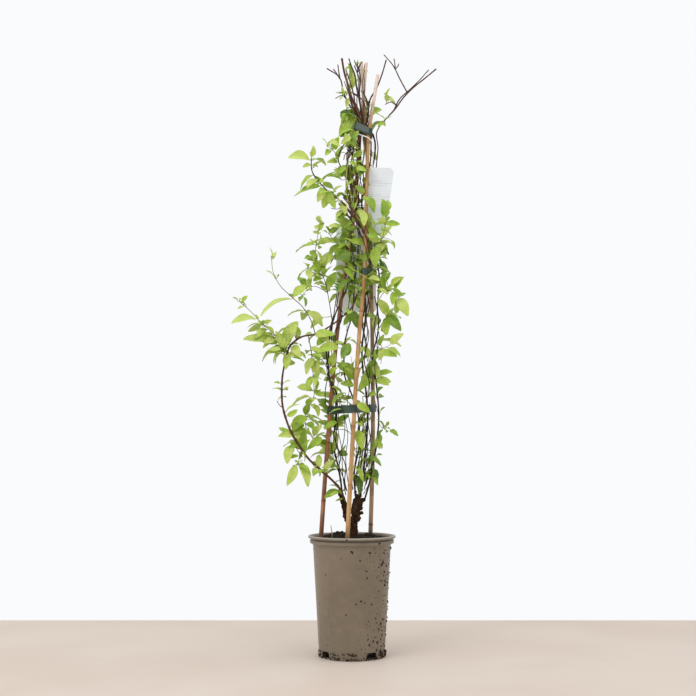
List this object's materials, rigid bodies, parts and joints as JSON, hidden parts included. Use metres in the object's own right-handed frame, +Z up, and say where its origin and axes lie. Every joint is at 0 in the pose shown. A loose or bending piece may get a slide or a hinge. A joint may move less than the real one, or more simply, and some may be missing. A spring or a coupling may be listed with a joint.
{
  "type": "potted climbing honeysuckle",
  "caption": "Climbing honeysuckle in a tapered nursery container, tied to a wigwam of bamboo canes, with leafy trailing stems and blank hanging cards.",
  "frame": {"origin": "middle of the pot's underside, on the ground, on the pot's axis", "axes": "+Z up along the pot's axis, +X to the right and +Y to the back as seen in the picture"},
  "size_m": [0.3994, 0.1696, 1.1872],
  "materials": {
    "taupe_plastic": "satin moulded plastic with specks of compost",
    "compost": "damp, crumbly",
    "old_wood": "rough bark",
    "bamboo": "satin",
    "tie_plastic": "soft sheen",
    "white_card": "smooth",
    "white_string": "twisted",
    "straw": "dry",
    "foliage": "soft satin leaf surface on brown and green stems"
  },
  "bodies": {
    "root": {"pot": "taupe_plastic", "soil": "compost", "crown": "old_wood", "cane_left": "bamboo", "cane_front": "bamboo", "cane_right": "bamboo", "tie_top": "tie_plastic", "tie_middle": "tie_plastic", "tie_low": "tie_plastic", "label": "white_card", "label_string": "white_string", "picture_tag": "white_card", "straw": "straw", "stem_arc": "foliage", "stem_left": "foliage", "stem_middle": "foliage", "stem_tall": "foliage", "stem_right": "foliage"}
  },
  "joints": []
}
